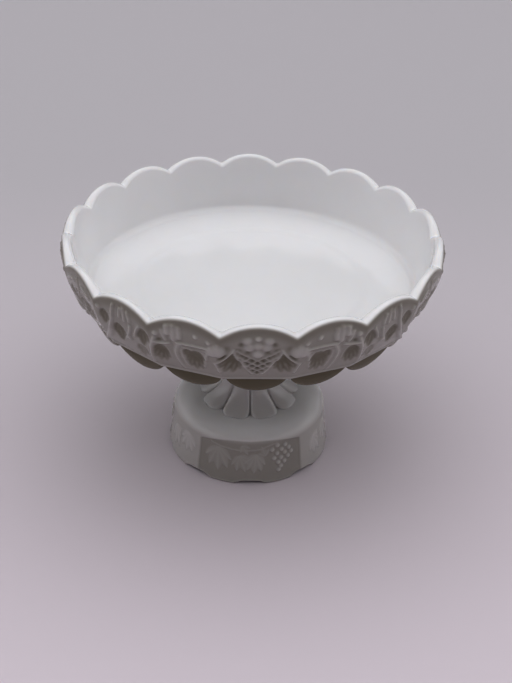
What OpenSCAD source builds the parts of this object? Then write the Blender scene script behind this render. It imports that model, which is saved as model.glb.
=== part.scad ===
// Footed cake stand in pressed glass: a shallow dish with a scalloped side band, a joining wafer,
// a ribbed stem and a hollow lobed foot.
// +Z is up, the origin is the centre of the foot on the surface it stands on, and -Y is the front.

/* [Dish] */
// Width across the flats of the side band at the rim
rim_w = 233.6; // [214:0.2:284]
// Width across the flats of the side band at its lower edge
band_w = 206; // [180:0.2:212]
// Height of the side band, from its lower edge to the scallop crests
band_h = 42.5; // [32:0.5:60]
// Number of flat panels round the band, with one scallop and one petal each
panels = 18; // [12:2:24]
// Depth of the scallops, from crest to valley
scallop_d = 7; // [3:0.5:9]
// Glass thickness at the rim
rim_t = 5; // [3.5:0.1:7]
// Height of the dish floor above the band's lower edge
floor_rise = 4; // [3:0.1:8]
// Height of the flat floor disc's step below the outer floor ring
floor_step = 0.6; // [0.4:0.1:1.5]
// Radius of the flat floor disc
floor_disc_r = 71; // [40:1:85]
// Radius of the cove between the floor and the side band
cove_r = 6.5; // [5:0.5:10]
// How far the petals hang below the band's lower edge
petal_drop = 11.5; // [7:0.5:14]
// Radius of the rounded outer end of each petal
petal_end_r = 7; // [5:0.5:16]

/* [Joint] */
// Radius of the dish's seat on the joining wafer
seat_r = 19; // [16:0.5:24]
// Height from the dish's seat to the band's lower edge
seat_depth = 23; // [18:0.5:30]
// Thickness of the joining wafer
wafer_t = 3.5; // [2:0.5:6]
// How far the wafer's bead stands proud of the seat
wafer_proud = 1.2; // [0.5:0.1:2.5]

/* [Stem] */
// Height of the stem
stem_h = 57; // [40:1:90]
// Number of ribs round the stem
ribs = 9; // [6:1:12]
// Radius over the ribs at the flared lower end
stem_flare_r = 36; // [26:0.5:38]
// Radius over the ribs at the waist
stem_waist_r = 13.5; // [10:0.5:15]
// Depth of the grooves between the ribs, as a share of the radius
rib_depth = 0.13; // [0.06:0.01:0.2]

/* [Foot] */
// Height of the foot, from the table to the stem's seat
foot_h = 37.5; // [28:0.5:50]
// Radius of the foot at the table
foot_r = 56; // [52:0.5:70]
// Radius of the foot at the top of its skirt
skirt_top_r = 52; // [48:0.5:60]
// Height of the foot's rounded shoulder
shoulder_h = 7.5; // [4:0.5:9]
// How far the rounded shoulder draws in
shoulder_in = 14; // [4:0.5:15]
// Glass thickness of the foot
foot_t = 5; // [4:0.5:7]
// Number of lobes round the skirt's lower edge
foot_lobes = 9; // [6:3:12]
// Height of the notches between the lobes
notch_h = 2.4; // [1.2:0.1:3.4]
// Half the angle that each notch spans
notch_half_angle = 11; // [7:0.5:14]
// Depth of the sunk panels in the skirt
sunk_d = 0.9; // [0.4:0.1:1.5]
// Plain margin at each end of a sunk panel, as an angle
sunk_margin = 0.5; // [0.5:0.5:8]

/* [Grape relief] */
// Radius of a berry on the band
berry_r = 2.5; // [1.5:0.1:2.7]
// Radius of a berry on the foot
foot_berry_r = 1.5; // [1:0.1:1.8]
// Rows of berries in a cluster
cluster_rows = 5; // [3:1:6]

/* [Hidden] */
$fn = 96;

stem_z = foot_h;
wafer_z = stem_z + stem_h;
dish_z = wafer_z + wafer_t;
band_z = dish_z + seat_depth;
crest_z = band_z + band_h;

rim_a = rim_w / 2;
band_a = band_w / 2;
half_step = 180 / panels;
upright_h = 4;
lip = 0.5;
reach = rim_a * 1.2;
profile_steps = 12;
neck_h = 5;
past_edge = 1.1;
band_swell = 0.8;
cove_out = 2.5;

// Outer half width of the band at height h above its lower edge: flared below, upright at the rim.
function band_half_w(h) =
    band_a + (rim_a - band_a) * pow(sin(90 * min(1, h / (band_h - upright_h))), band_swell);

// Heights at which the band's outline has a point.
function band_heights() = [for (i = [0 : profile_steps]) (band_h - upright_h) * i / profile_steps];

// Solid bounded by the band's flat-sided outline, from its lower edge to the crests.
module panelled_block() {
    right = [for (h = band_heights()) [band_half_w(h), h]];
    left = [for (i = [profile_steps : -1 : 0]) [-right[i][0], right[i][1]]];
    intersection_for (k = [0 : panels / 2 - 1])
        rotate([90, 0, 90 + 2 * k * half_step])
            linear_extrude(2 * reach, center = true)
                polygon(concat(right, [[rim_a, band_h], [-rim_a, band_h]], left));
}

// Envelope of the scalloped edge: one radial round for each panel, over a plain disc.
module scallop_envelope() {
    half_chord = rim_a * tan(half_step);
    round_r = (pow(half_chord, 2) + pow(scallop_d, 2)) / (2 * scallop_d);
    inner_r = rim_a - 4 * rim_t;
    cylinder(r = reach, h = band_h - scallop_d - 2 * rim_t);
    cylinder(r = inner_r + rim_t, h = band_h);
    for (k = [0 : panels - 1])
        rotate([0, 0, 2 * k * half_step])
            translate([0, -inner_r, band_h - round_r])
                rotate([90, 0, 0])
                    cylinder(r = round_r, h = reach - inner_r);
}

// Inside of the dish: a stepped floor, a cove and a gently flared wall.
module dish_cavity() {
    wall_r = rim_a - rim_t;
    cove_x = band_a + cove_out - cove_r;
    top_z = band_h + 1;
    cove_steps = 8;
    lean = atan((wall_r - cove_x - cove_r) / (top_z - floor_rise - cove_r));
    rotate_extrude()
        polygon(concat(
            [[0, top_z], [0, floor_rise - floor_step], [floor_disc_r, floor_rise - floor_step],
             [floor_disc_r + 2, floor_rise]],
            [for (i = [0 : cove_steps])
                let (a = (90 - lean) * i / cove_steps)
                [cove_x + cove_r * sin(a), floor_rise + cove_r * (1 - cos(a))]],
            [[wall_r, top_z]]));
}

// Section of the space below the band that the petals may fill, with a rounded outer end.
module petal_limits() {
    end_a = band_a - lip;
    tip_z = seat_depth - petal_drop;
    end_steps = 6;
    polygon(concat(
        [[0, seat_depth], [0, 0], [seat_r, 0], [seat_r, neck_h], [end_a - petal_end_r, tip_z]],
        [for (i = [1 : end_steps])
            let (a = 90 * i / end_steps)
            [end_a - petal_end_r * (1 - sin(a)), tip_z + petal_drop * (1 - cos(a))]]));
}

// Drop of a petal's surface at a distance t from the groove beside it, as half an ellipse.
function petal_fall(t) =
    let (half_w = band_a * tan(half_step),
         from_crest = max(0, 1 - abs(t) / half_w))
    petal_drop * sqrt(1 - pow(from_crest, 2));

// Space that parts one petal from the next, sloping down towards the stem.
module petal_groove() {
    half_w = band_a * tan(half_step);
    stations = [-past_edge, -0.62, -0.36, -0.16, -0.05, 0, 0.05, 0.16, 0.36, 0.62, past_edge] * half_w;
    groove_slope = 5.5;
    start = seat_r * 0.9;
    translate([band_a / cos(half_step), 0, seat_depth])
        rotate([0, -groove_slope, 0])
            translate([start - band_a, 0, 0])
                rotate([90, 0, 90])
                    linear_extrude(rim_a)
                        polygon(concat(
                            [for (t = stations) [t, -petal_fall(t)]],
                            [[past_edge * half_w, -2 * seat_depth], [-past_edge * half_w, -2 * seat_depth]]));
}

// Underside of the dish: the petals round the seat.
module petal_underside() {
    difference() {
        rotate_extrude()
            petal_limits();
        for (k = [0 : panels - 1])
            rotate([0, 0, 90 + (2 * k + 1) * half_step])
                petal_groove();
    }
    cylinder(r = seat_r, h = seat_depth - petal_drop / 2);
}

// Grape clusters on the band, on every sixth panel, in rows that shorten downwards.
module band_clusters() {
    pitch = 2.12 * berry_r;
    row_h = 0.88 * pitch;
    sink = 0.3 * berry_r;
    top = 0.62 * band_h;
    for (k = [0 : 2], row = [0 : cluster_rows - 1], i = [0 : cluster_rows - 1 - row])
        rotate([0, 0, 120 * k])
            translate([(i - (cluster_rows - 1 - row) / 2) * pitch,
                sink - band_half_w(top - row * row_h), seat_depth + top - row * row_h])
                sphere(r = berry_r, $fn = 32);
}

// The pressed dish.
module dish() {
    color([0.93, 0.93, 0.94])
        translate([0, 0, dish_z]) {
            difference() {
                union() {
                    petal_underside();
                    translate([0, 0, seat_depth])
                        intersection() {
                            panelled_block();
                            scallop_envelope();
                        }
                    band_clusters();
                }
                translate([0, 0, seat_depth])
                    dish_cavity();
            }
        }
}

// The wafer of glass that joins the dish to the stem, with a rounded bead.
module joining_wafer() {
    bead_r = wafer_t / 2;
    core_r = seat_r + wafer_proud - bead_r;
    color([0.9, 0.9, 0.92])
        translate([0, 0, wafer_z]) {
            cylinder(r = core_r, h = wafer_t);
            translate([0, 0, bead_r])
                rotate_extrude()
                    translate([core_r, 0])
                        circle(r = bead_r, $fn = 48);
        }
}

stem_rings = 30;
rib_points = 10;
stem_points = ribs * rib_points;
stem_top_inset = 1;
flare_decay = 6.5;
top_power = 6;
toe_share = 0.07;
toe_round = 0.09;
ring_bias = 1.4;

// Radius over the ribs at a share t of the stem's height.
function stem_r(t) =
    let (flare = stem_flare_r - stem_waist_r,
         top = seat_r - stem_top_inset - stem_waist_r,
         toe = 1 - toe_round * pow(max(0, 1 - t / toe_share), 2))
    (stem_waist_r + flare * exp(-flare_decay * t) * (1 - pow(t, 3)) + top * pow(t, top_power)) * toe;

// Radius at azimuth a: full on each rib, drawn in at each groove. A groove faces the front.
function rib_shape(a) = 1 - rib_depth * (1 - sqrt(abs(sin(a * ribs / 2))));

function stem_point(i, j) =
    let (t = pow(i / stem_rings, ring_bias), a = 360 * j / stem_points, r = stem_r(t) * rib_shape(a))
    [r * sin(a), -r * cos(a), stem_h * t];

// The ribbed stem, flared where it stands on the foot.
module ribbed_stem() {
    n = stem_points;
    low_hub = (stem_rings + 1) * n;
    high_hub = low_hub + 1;
    last = stem_rings * n;
    points = [for (i = [0 : stem_rings], j = [0 : n - 1]) stem_point(i, j)];
    sides = [for (i = [0 : stem_rings - 1], j = [0 : n - 1], half = [0, 1])
        let (here = i * n + j, beside = i * n + (j + 1) % n)
        half == 0 ? [here, beside + n, beside] : [here, here + n, beside + n]];
    ends = [for (j = [0 : n - 1], high = [0, 1])
        let (next = (j + 1) % n)
        high == 0 ? [low_hub, j, next] : [high_hub, last + next, last + j]];
    color([0.9, 0.9, 0.92])
        translate([0, 0, stem_z])
            polyhedron(points = concat(points, [[0, 0, 0], [0, 0, stem_h]]),
                faces = concat(sides, ends));
}

stem_seat_margin = 2;
stem_seat_r = min(stem_flare_r + stem_seat_margin, skirt_top_r - shoulder_in - 1);
shoulder_rise = 0.98;

// Radius of the skirt's outside at height h.
function skirt_r(h) = foot_r + (skirt_top_r - foot_r) * h / (foot_h - shoulder_h);

// Section of the foot's glass, sunk in by `inset` from its outside.
module foot_section(inset) {
    shoulder_steps = 6;
    skirt_h = foot_h - shoulder_h;
    polygon(concat(
        [[0, -inset], [skirt_r(0) - inset, -inset]],
        [for (i = [0 : shoulder_steps])
            let (a = 90 * i / shoulder_steps)
            [skirt_top_r - inset - shoulder_in * (1 - cos(a)),
             skirt_h - inset + shoulder_h * shoulder_rise * sin(a)]],
        [[stem_seat_r - inset, foot_h - inset], [0, foot_h - inset]]));
}

// Notch in the skirt's lower edge.
module skirt_notch() {
    half_w = foot_r * sin(notch_half_angle);
    round_r = (pow(half_w, 2) + pow(notch_h, 2)) / (2 * notch_h);
    translate([0, -foot_r + 2 * foot_t, notch_h - round_r])
        rotate([90, 0, 0])
            cylinder(r = round_r, h = 3 * foot_t);
}

// Sunk panel that spans two lobes, centred on the front.
module sunk_panel() {
    low = 2.5 * notch_h;
    high = foot_h - shoulder_h - 1;
    span = 2 * 360 / foot_lobes - 2 * sunk_margin;
    rotate([0, 0, -90 - span / 2])
        rotate_extrude(angle = span)
            polygon([[skirt_r(low) - sunk_d, low], [skirt_r(low) + 2, low],
                [skirt_r(high) + 2, high], [skirt_r(high) - sunk_d, high]]);
}

// Small grape clusters, one in the right half of each sunk panel.
module foot_clusters() {
    pitch = 2.12 * foot_berry_r;
    row_h = 0.88 * pitch;
    sink = 0.35 * foot_berry_r;
    top = 0.62 * foot_h;
    turn = 0.62 * 360 / foot_lobes;
    for (k = [0 : foot_lobes / 3 - 1], row = [0 : cluster_rows - 1], i = [0 : cluster_rows - 1 - row])
        let (h = top - row * row_h, across = (i - (cluster_rows - 1 - row) / 2) * pitch)
        rotate([0, 0, k * 3 * 360 / foot_lobes + turn + across / skirt_r(h) * 180 / PI])
            translate([0, sunk_d + sink - skirt_r(h), h])
                sphere(r = foot_berry_r, $fn = 32);
}

// The hollow foot, with its lobed lower edge and sunk panels.
module lobed_foot() {
    color([0.91, 0.91, 0.93]) {
        difference() {
            rotate_extrude()
                foot_section(0);
            rotate_extrude()
                foot_section(foot_t);
            for (k = [0 : foot_lobes - 1])
                rotate([0, 0, k * 360 / foot_lobes])
                    skirt_notch();
            for (k = [0 : foot_lobes / 3 - 1])
                rotate([0, 0, k * 3 * 360 / foot_lobes])
                    sunk_panel();
        }
        foot_clusters();
    }
}

dish();
joining_wafer();
ribbed_stem();
lobed_foot();
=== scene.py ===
"""A footed cake stand in pressed milk glass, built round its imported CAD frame.

The stand has four pieces of one pale glass: a shallow dish with a scalloped grape-and-leaf band and
petals under it, a joining wafer, a ribbed stem and a hollow lobed foot. Each piece is a class that
shapes its mesh from its own sizes, in millimetres, and sets it where its CAD node stands.
+Z is up, the origin is the centre of the foot on the table, and -Y is the front.
"""

from __future__ import annotations

import logging
import math
from dataclasses import dataclass, field
from enum import Enum
from typing import Protocol

import bpy
import numpy as np
from mathutils import Matrix, Vector

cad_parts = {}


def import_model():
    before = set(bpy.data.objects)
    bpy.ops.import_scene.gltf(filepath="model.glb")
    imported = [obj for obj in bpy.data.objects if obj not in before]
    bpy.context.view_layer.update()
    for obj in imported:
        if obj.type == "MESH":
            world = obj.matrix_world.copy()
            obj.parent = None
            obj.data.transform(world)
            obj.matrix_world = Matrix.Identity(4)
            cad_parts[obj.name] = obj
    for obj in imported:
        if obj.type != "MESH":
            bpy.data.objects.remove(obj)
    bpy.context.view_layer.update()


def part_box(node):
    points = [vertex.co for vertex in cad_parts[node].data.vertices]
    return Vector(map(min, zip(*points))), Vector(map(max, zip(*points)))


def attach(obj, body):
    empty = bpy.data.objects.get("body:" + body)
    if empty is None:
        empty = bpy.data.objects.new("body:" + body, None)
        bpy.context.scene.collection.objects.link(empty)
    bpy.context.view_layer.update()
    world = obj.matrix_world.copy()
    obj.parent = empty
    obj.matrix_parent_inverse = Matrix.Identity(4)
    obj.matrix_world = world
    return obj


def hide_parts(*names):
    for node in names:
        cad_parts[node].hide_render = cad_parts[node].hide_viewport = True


LOG = logging.getLogger("cake_stand")
MM = 0.001
# Mesh attribute of painted shade: how far each point's white is darkened towards a warm shade colour,
# standing in for shade that falls there.
PAINTED_SHADE = "painted_shade"
AZIMUTH_PLACES = 6
COLOUR_MIX_INPUTS = (0, 6, 7)
COLOUR_MIX_RESULT = 2
Colour = tuple[float, float, float]


class Symmetry(Enum):
    """How a relief repeats round a piece, as the parts of its mould do."""

    MIRRORED = "mirrored"
    TURNED = "turned"


class Motif(Protocol):
    """Anything raised on the glass."""

    def height(self, across: np.ndarray, up: np.ndarray) -> np.ndarray:
        """Height of the motif over the plain glass, in millimetres, at each point."""


@dataclass(frozen=True)
class Berry:
    """A round grape, a dome on the surface."""

    across: float
    up: float
    radius: float
    rise: float

    def height(self, across: np.ndarray, up: np.ndarray) -> np.ndarray:
        """Height of the dome at each point."""
        share = np.hypot(across - self.across, up - self.up) / self.radius
        return self.rise * np.sqrt(np.clip(1.0 - share**2, 0.0, 1.0))


@dataclass(frozen=True)
class Ridge:
    """A rounded ridge along a bowed line, such as a vine, a stalk or a fold of a bud."""

    start: tuple[float, float]
    end: tuple[float, float]
    half_width: float
    rise: float
    bow: float = 0.0
    steps: int = 7

    def height(self, across: np.ndarray, up: np.ndarray) -> np.ndarray:
        """Height of the ridge at each point.

        Args:
            across: Distance round the piece at each point.
            up: Height at each point.

        Returns:
            Height over the plain glass, with the same shape as `across`.
        """
        first, last = np.array(self.start), np.array(self.end)
        along = last - first
        middle = (first + last) / 2 + self.bow * np.array([-along[1], along[0]])
        shares = np.linspace(0.0, 1.0, self.steps)[:, None]
        line = first * (1 - shares) ** 2 + middle * 2 * shares * (1 - shares) + last * shares**2
        nearest = np.full(across.shape, np.inf)
        for a, b in zip(line[:-1], line[1:]):
            run = b - a
            share = ((across - a[0]) * run[0] + (up - a[1]) * run[1]) / (run @ run)
            share = np.clip(share, 0.0, 1.0)
            gap = np.hypot(across - a[0] - share * run[0], up - a[1] - share * run[1])
            nearest = np.minimum(nearest, gap)
        return self.rise * np.sqrt(np.clip(1.0 - (nearest / self.half_width) ** 2, 0.0, 1.0))


@dataclass(frozen=True)
class VineLeaf:
    """A lobed vine leaf: blades that spread from its base, each with a raised rib.

    With a rise below zero the leaf is sunk into the glass, and its ribs stand up in the hollow.
    """

    base: tuple[float, float]
    heading: float
    length: float
    rise: float
    spread: float = 110.0
    lobes: int = 5
    blade_width: float = 0.27
    rib_rise: float = 0.35
    rib_width: float = 0.045
    side_shortening: float = 0.28
    taper: float = 0.85
    fullness: float = 0.8
    flat_share: float = 0.72
    edge_round: float = 0.45
    thin_end: float = 0.001

    def height(self, across: np.ndarray, up: np.ndarray) -> np.ndarray:
        """Height of the leaf at each point.

        Args:
            across: Distance round the piece at each point.
            up: Height at each point.

        Returns:
            Height over the plain glass, with the same shape as `across`.
        """
        deepest = np.zeros(across.shape)
        x, y = across - self.base[0], up - self.base[1]
        for lobe in range(self.lobes):
            side = 2 * lobe / (self.lobes - 1) - 1
            turn = math.radians(self.heading + side * self.spread / 2)
            reach = self.length * (1 - self.side_shortening * side**2)
            along = (x * math.cos(turn) + y * math.sin(turn)) / reach
            aside = (y * math.cos(turn) - x * math.sin(turn)) / reach
            swell = np.sin(math.pi * np.clip(along, self.thin_end, 1 - self.thin_end) ** self.taper)
            width = self.blade_width * swell**self.fullness
            inside = np.clip(1 - (aside / width) ** 2, 0.0, 1.0) * ((along > 0) & (along < 1))
            rib = self.rib_rise * np.exp(-((aside / self.rib_width) ** 2)) * np.sign(self.rise)
            blade = self.rise * inside**self.edge_round * (self.flat_share + rib)
            deepest = np.where(np.abs(blade) > np.abs(deepest), blade, deepest)
        return deepest


@dataclass(frozen=True)
class Pit:
    """A soft hollow between leaves, where the ground of the relief lies deeper."""

    across: float
    up: float
    radius: float
    depth: float

    def height(self, across: np.ndarray, up: np.ndarray) -> np.ndarray:
        """Depth of the hollow at each point, as a height below the plain glass."""
        share = np.hypot(across - self.across, up - self.up) / self.radius
        return -self.depth * np.exp(-(share**2))


@dataclass
class Relief:
    """Motifs on one sector of a piece, repeated all the way round."""

    motifs: list[Motif]
    hollows: list[Motif]
    sector: float
    mm_per_degree: float
    symmetry: Symmetry

    def folded(self, azimuth: np.ndarray) -> np.ndarray:
        """Azimuth in the sector that the motifs are drawn in, in degrees."""
        turned = (azimuth + self.sector / 2) % self.sector - self.sector / 2
        return np.abs(turned) if self.symmetry is Symmetry.MIRRORED else turned

    def field(self, azimuth: np.ndarray, up: np.ndarray) -> np.ndarray:
        """Relief height over a grid of points.

        Args:
            azimuth: Azimuth of each column, in degrees.
            up: Height of each point, as rings by columns.

        Returns:
            Height over the plain glass for each ring and column, in millimetres.
        """
        keys, first, back = np.unique(
            np.round(self.folded(azimuth), AZIMUTH_PLACES), return_index=True, return_inverse=True
        )
        across = np.broadcast_to(keys * self.mm_per_degree, (len(up), len(keys)))
        heights = up[:, first]
        ground = np.zeros(heights.shape)
        for hollow in self.hollows:
            ground = np.minimum(ground, hollow.height(across, heights))
        raised = np.zeros(heights.shape)
        for motif in self.motifs:
            raised = np.maximum(raised, motif.height(across, heights))
        return np.where(raised > 0.0, np.maximum(raised, ground), ground)[:, back.ravel()]


def softened(field_mm: np.ndarray, passes: int = 1) -> np.ndarray:
    """The same field with its creases eased, as fire-polished glass is.

    Args:
        field_mm: Heights as rings by columns, where the columns run all the way round.
        passes: How many times each point is averaged with its neighbours.

    Returns:
        The eased heights, with the first and last ring kept.
    """
    eased = field_mm
    for _ in range(passes):
        eased = (np.roll(eased, 1, 1) + 2 * eased + np.roll(eased, -1, 1)) / 4
        inner = (eased[:-2] + 2 * eased[1:-1] + eased[2:]) / 4
        eased = np.concatenate([eased[:1], inner, eased[-1:]])
    return eased


def smoothstep(low: float, high: float, value: np.ndarray) -> np.ndarray:
    """A smooth rise from one value to another.

    Args:
        low: Value up to which the result is 0.
        high: Value from which the result is 1.
        value: The values to carry over.

    Returns:
        The rise at each value, from 0 to 1.
    """
    share = np.clip((value - low) / (high - low), 0.0, 1.0)
    return share * share * (3 - 2 * share)


def lathe_mesh(name: str, radius: np.ndarray, z: np.ndarray, azimuth: np.ndarray,
               depth: np.ndarray) -> bpy.types.Object:
    """A closed surface from rings of points, with its first and last ring drawn to a point.

    Args:
        name: Name of the piece.
        radius: Distance from the axis of each point, as rings by columns, in millimetres.
        z: Height of each point, as rings by columns, in millimetres.
        azimuth: Azimuth of each column, in degrees, from the front.
        depth: Painted shade at each point, from 0 to 1, as rings by columns, which darkens and warms the
            glass where shade falls.

    Returns:
        The mesh object, in metres, linked to the scene.
    """
    turn = np.radians(azimuth)
    points = np.stack([radius * np.sin(turn), -radius * np.cos(turn), z], axis=-1) * MM
    rings, columns = radius.shape
    body = points[1:-1].reshape(-1, 3)
    vertices = np.concatenate([[points[0].mean(0)], body, [points[-1].mean(0)]])
    here = 1 + np.arange(rings - 2)[:, None] * columns + np.arange(columns)[None, :]
    beside = np.roll(here, -1, axis=1)
    quads = np.stack([here[:-1], beside[:-1], beside[1:], here[1:]], axis=-1).reshape(-1, 4)
    last = len(vertices) - 1
    faces = quads.tolist()
    faces += [[0, b, a] for a, b in zip(here[0].tolist(), beside[0].tolist())]
    faces += [[last, a, b] for a, b in zip(here[-1].tolist(), beside[-1].tolist())]
    mesh = bpy.data.meshes.new(name)
    mesh.from_pydata(vertices.tolist(), [], faces)
    if signed_volume(vertices, quads) < 0:
        mesh.flip_normals()
    mesh.shade_smooth()
    # Painted shade of each point, averaged for the two end points, stored on the mesh.
    tone = np.concatenate([[depth[0].mean()], depth[1:-1].ravel(), [depth[-1].mean()]])
    mesh.attributes.new(PAINTED_SHADE, "FLOAT", "POINT").data.foreach_set("value", tone.astype(np.float32))
    mesh.update()
    piece = bpy.data.objects.new(name, mesh)
    bpy.context.scene.collection.objects.link(piece)
    return piece


def signed_volume(vertices: np.ndarray, quads: np.ndarray) -> float:
    """Volume inside a closed surface.

    Args:
        vertices: Points of the surface.
        quads: Four vertex numbers for each face.

    Returns:
        The volume, which is negative where the faces look inwards.
    """
    a, b, c, d = (vertices[quads[:, i]] for i in range(4))
    return float((np.cross(a, b) * c).sum() + (np.cross(a, c) * d).sum()) / 6


def opaque(colour: Colour) -> tuple[float, float, float, float]:
    """The colour as a socket takes it, fully opaque."""
    return (*colour, 1.0)


@dataclass(frozen=True)
class Wiring:
    """The node tree of a finish or of the room's light, while its nodes are placed and joined."""

    tree: bpy.types.NodeTree

    def node(self, kind: str) -> bpy.types.Node:
        """A new node of the given kind."""
        return self.tree.nodes.new(kind)

    def feed(self, socket: bpy.types.NodeSocket, source: bpy.types.NodeSocket | float | tuple) -> None:
        """Joins a socket to an output, or sets it to a plain value.

        Args:
            socket: The input to feed.
            source: Another node's output, a number or an opaque colour.
        """
        if isinstance(source, bpy.types.NodeSocket):
            self.tree.links.new(source, socket)
        else:
            socket.default_value = source

    def mixed(self, share: bpy.types.NodeSocket, first: bpy.types.NodeSocket | tuple,
              second: bpy.types.NodeSocket | tuple) -> bpy.types.NodeSocket:
        """A colour between two others.

        Args:
            share: 0 for the first colour and 1 for the second.
            first: Opaque colour, or the output that holds it.
            second: Opaque colour, or the output that holds it.

        Returns:
            The output that holds the mixed colour.
        """
        mix = self.node("ShaderNodeMix")
        mix.data_type = "RGBA"
        for place, source in zip(COLOUR_MIX_INPUTS, (share, first, second)):
            self.feed(mix.inputs[place], source)
        return mix.outputs[COLOUR_MIX_RESULT]

    def noise(self, size: float, detail: float,
              place: bpy.types.NodeSocket | None = None) -> bpy.types.NodeSocket:
        """A cloudy pattern.

        Args:
            size: How fine the pattern is.
            detail: How many finer layers it has.
            place: Where each point reads the pattern, or None for the object's own box.

        Returns:
            The output that holds the pattern's strength.
        """
        pattern = self.node("ShaderNodeTexNoise")
        pattern.inputs["Scale"].default_value = size
        pattern.inputs["Detail"].default_value = detail
        if place is not None:
            self.feed(pattern.inputs["Vector"], place)
        return pattern.outputs["Fac"]

    def faded(self, value: bpy.types.NodeSocket, starts: float = 0.0, full: float = 1.0,
              low: float = 0.0, high: float = 1.0, smooth: bool = True) -> bpy.types.NodeSocket:
        """A value carried from one range to another.

        Args:
            value: The output that is carried over.
            starts: Value that gives `low`.
            full: Value that gives `high`.
            low: Lowest result.
            high: Highest result.
            smooth: Whether the change eases in and out.

        Returns:
            The output that holds the result.
        """
        fade = self.node("ShaderNodeMapRange")
        fade.interpolation_type = "SMOOTHSTEP" if smooth else "LINEAR"
        bounds = {"From Min": starts, "From Max": full, "To Min": low, "To Max": high}
        for name, bound in bounds.items():
            fade.inputs[name].default_value = bound
        self.feed(fade.inputs["Value"], value)
        return fade.outputs["Result"]


@dataclass(frozen=True)
class MilkGlass:
    """Opal glass, white through its thickness, fire-polished, with a faint flow in its surface and painted
    shade.
    """

    name: str
    colour: Colour = (0.82, 0.815, 0.825)
    streak: Colour = (0.78, 0.775, 0.78)
    # Dark warm colour that the painted shade mixes the white towards.
    painted_shade_colour: Colour = (0.145, 0.126, 0.085)
    roughness: float = 0.13
    roughness_spread: float = 0.05
    refraction: float = 1.5
    glow: float = 0.25
    glow_depth: float = 0.004
    glow_reach: Colour = (1.0, 0.85, 0.7)
    flow_size: float = 22.0
    flow_detail: float = 3.0
    flow_height: float = 0.00022
    polish_size: float = 308.0
    polish_detail: float = 2.0
    seed: float = 0.0
    seed_run: tuple[float, float, float] = (1.0, 0.7, 0.4)

    def material(self) -> bpy.types.Material:
        """The finish as a node material.

        Returns:
            The material, for a piece's only slot.
        """
        made = bpy.data.materials.new(self.name)
        made.use_nodes = True
        wiring, shader = Wiring(made.node_tree), made.node_tree.nodes["Principled BSDF"].inputs
        shift = wiring.node("ShaderNodeMapping")
        shift.inputs["Location"].default_value = [self.seed * share for share in self.seed_run]
        wiring.feed(shift.inputs["Vector"], wiring.node("ShaderNodeTexCoord").outputs["Object"])
        flow = wiring.noise(self.flow_size, self.flow_detail, shift.outputs["Vector"])
        polish = wiring.noise(self.polish_size, self.polish_detail, shift.outputs["Vector"])
        # Painted shade: the mesh's painted shade attribute darkens the streaked white towards the shade
        # colour.
        painted_shade_attribute = wiring.node("ShaderNodeAttribute")
        painted_shade_attribute.attribute_name = PAINTED_SHADE
        streaked = wiring.mixed(flow, opaque(self.colour), opaque(self.streak))
        tint = wiring.mixed(painted_shade_attribute.outputs["Fac"], streaked, opaque(self.painted_shade_colour))
        gloss = wiring.faded(polish, low=self.roughness - self.roughness_spread,
                             high=self.roughness + self.roughness_spread, smooth=False)
        bump = wiring.node("ShaderNodeBump")
        bump.inputs["Distance"].default_value = self.flow_height
        wiring.feed(bump.inputs["Height"], flow)
        wiring.feed(shader["Base Color"], tint)
        wiring.feed(shader["Roughness"], gloss)
        wiring.feed(shader["Normal"], bump.outputs["Normal"])
        shader["IOR"].default_value = self.refraction
        shader["Subsurface Weight"].default_value = self.glow
        shader["Subsurface Radius"].default_value = self.glow_reach
        shader["Subsurface Scale"].default_value = self.glow_depth
        return made


def settle(piece: bpy.types.Object, node: str, finish: MilkGlass) -> None:
    """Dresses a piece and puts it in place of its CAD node.

    Args:
        piece: The finished mesh.
        node: CAD node that the piece stands for.
        finish: The glass it is made of.
    """
    piece.data.materials.append(finish.material())
    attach(piece, "root")
    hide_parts(node)
    points, faces = len(piece.data.vertices), len(piece.data.polygons)
    LOG.info("%s: %d vertices, %d faces", piece.name, points, faces)


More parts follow.
